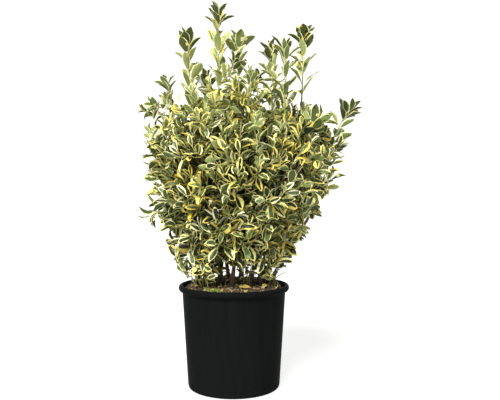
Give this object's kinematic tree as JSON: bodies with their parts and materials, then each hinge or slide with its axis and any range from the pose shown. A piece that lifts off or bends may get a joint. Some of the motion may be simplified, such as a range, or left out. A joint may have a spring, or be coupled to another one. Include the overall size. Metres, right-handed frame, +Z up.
{
  "type": "potted variegated shrub",
  "caption": "Bushy evergreen shrub with cream-edged leaves on many upright stems, in a plain round nursery pot.",
  "frame": {"origin": "centre of the pot's flat underside", "axes": "+Z up along the pot's axis, -Y towards the viewer of the picture, +X to the viewer's right"},
  "size_m": [0.5713, 0.4368, 0.9149],
  "materials": {
    "pot": "satin black moulded plastic",
    "soil": "rough, moist bark and peat",
    "bark": "rough grey-brown bark",
    "foliage": "leathery leaves, semi-gloss"
  },
  "bodies": {
    "root": {"pot": "pot", "soil": "soil", "stem_far_left": "bark", "stem_left": "bark", "stem_mid_left": "bark", "stem_front": "bark", "stem_centre": "bark", "stem_back": "bark", "stem_mid_right": "bark", "stem_front_right": "bark", "stem_right": "bark", "stem_far_right": "bark", "bough_1": "bark", "bough_2": "bark", "bough_3": "bark", "bough_4": "bark", "bough_5": "bark", "bough_6": "bark", "bough_7": "bark", "bough_8": "bark", "bough_9": "bark", "bough_10": "bark", "bough_11": "bark", "bough_12": "bark", "bough_13": "bark", "bough_14": "bark", "bough_15": "bark", "bough_16": "bark", "bough_17": "bark", "bough_18": "bark", "foliage_far_left": "foliage", "foliage_left": "foliage", "foliage_mid_left": "foliage", "foliage_front": "foliage", "foliage_centre": "foliage", "foliage_back": "foliage", "foliage_mid_right": "foliage", "foliage_front_right": "foliage", "foliage_right": "foliage", "foliage_far_right": "foliage", "foliage_1": "foliage", "foliage_2": "foliage", "foliage_3": "foliage", "foliage_4": "foliage", "foliage_5": "foliage", "foliage_6": "foliage", "foliage_7": "foliage", "foliage_8": "foliage", "foliage_9": "foliage", "foliage_10": "foliage", "foliage_11": "foliage", "foliage_12": "foliage", "foliage_13": "foliage", "foliage_14": "foliage", "foliage_15": "foliage", "foliage_16": "foliage", "foliage_17": "foliage", "foliage_18": "foliage"}
  },
  "joints": []
}
